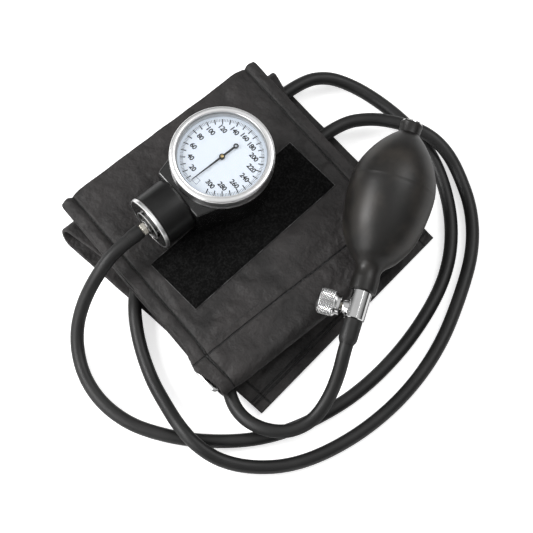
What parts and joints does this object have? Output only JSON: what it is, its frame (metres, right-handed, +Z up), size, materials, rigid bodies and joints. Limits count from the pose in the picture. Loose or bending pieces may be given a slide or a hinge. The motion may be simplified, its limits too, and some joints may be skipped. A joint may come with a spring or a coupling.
{
  "type": "aneroid sphygmomanometer",
  "caption": "Folded arm cuff with inner bladder, dial pressure gauge with needle, rubber squeeze bulb with release valve, and two hoses",
  "frame": {"origin": "on the table, under the middle of the folded cuff", "axes": "+Z up, +X across the cuff's width towards the hose necks, +Y from the cuff's front fold towards the back fold"},
  "size_m": [0.264, 0.2203, 0.0777],
  "materials": {
    "nylon": "satin woven nylon",
    "loop_pile": "short pile",
    "hook_tape": "rough",
    "ring_steel": "bright wire",
    "bladder_rubber": "matt",
    "hose_rubber": "satin",
    "bulb_rubber": "matt, dusty",
    "washer_rubber": "matt",
    "case_black": "gloss",
    "chrome": "bright",
    "nickel": "satin",
    "movement_brass": "satin",
    "capsule_bronze": "satin",
    "spring_bronze": "satin",
    "steel": "satin",
    "dial_white": "matt white with printed scale",
    "spacer_plastic": "matt white",
    "dial_glass": "clear",
    "pointer_black": "matt"
  },
  "bodies": {
    "base": {"cuff_sleeve": "nylon", "bladder": "bladder_rubber", "loop_patch": "loop_pile", "hook_patch": "hook_tape", "cuff_ring": "ring_steel", "gauge_hose": "hose_rubber", "bulb_hose": "hose_rubber", "gauge_case": "case_black", "capsule_housing": "case_black", "cap_washer": "washer_rubber", "capsule_cap": "chrome", "inlet_barb": "nickel", "capsule": "capsule_bronze", "bottom_plate": "movement_brass", "top_plate": "movement_brass", "plate_pillars": "movement_brass", "plate_screws": "steel", "hairspring": "spring_bronze", "dial_plate": "dial_white", "dial_spacer": "spacer_plastic", "dial_glass": "dial_glass", "bezel_ring": "chrome", "bulb": "bulb_rubber", "intake_body": "chrome", "intake_retainer": "nickel", "bulb_spigot": "chrome", "valve_body": "chrome"},
    "sector": {"sector_gear": "movement_brass", "sector_arbor": "steel"},
    "pointer_group": {"pinion_arbor": "movement_brass", "spring_collet": "movement_brass", "pointer": "pointer_black", "pointer_cap": "movement_brass"},
    "rod": {"push_rod": "steel", "capsule_button": "movement_brass"},
    "needle_group": {"needle": "nickel"},
    "knob": {"release_stem": "nickel", "release_collar": "chrome", "release_knob": "chrome"},
    "intake_ball_group": {"intake_ball": "steel"},
    "outlet_ball_group": {"outlet_ball": "steel"}
  },
  "joints": [
    {"name": "sector_swing", "type": "hinge", "parent": "base", "child": "sector", "pos_m": [-0.00817, 0.0295, 0.0394], "axis": [0, 0, 1], "range_deg": [0, 34.53], "stiffness_Nm_per_rad": 0.0002},
    {"name": "pointer_spin", "type": "hinge", "parent": "base", "child": "pointer_group", "pos_m": [0.0086, 0.0251, 0.0394], "axis": [0, 0, -1], "range_deg": [0, 338.4]},
    {"name": "rod_slide", "type": "slide", "parent": "base", "child": "rod", "axis": [1, 0, 0], "range_m": [0, 0.00262], "deforming": ["capsule"]},
    {"name": "needle_slide", "type": "slide", "parent": "base", "child": "needle_group", "axis": [-0.548, 0.8365, 0], "range_m": [0, 0.00142]},
    {"name": "knob_turn", "type": "hinge", "parent": "base", "child": "knob", "pos_m": [0.01126, -0.09079, 0.0443], "axis": [-0.548, 0.8365, 0], "range_deg": [0, 720]},
    {"name": "intake_ball_slide", "type": "slide", "parent": "base", "child": "intake_ball_group", "axis": [0.8306, 0.5441, 0.1182], "range_m": [0, 0.001]},
    {"name": "outlet_ball_slide", "type": "slide", "parent": "base", "child": "outlet_ball_group", "axis": [0.8306, 0.5441, 0.1182], "range_m": [0, 0.001]}
  ],
  "couplings": [
    {"joint": "pointer_spin", "follows": "sector_swing", "ratio": 9.8},
    {"joint": "rod_slide", "follows": "sector_swing", "m_per_rad": 0.004334},
    {"joint": "needle_slide", "follows": "knob_turn", "m_per_rad": 0.00011141}
  ]
}
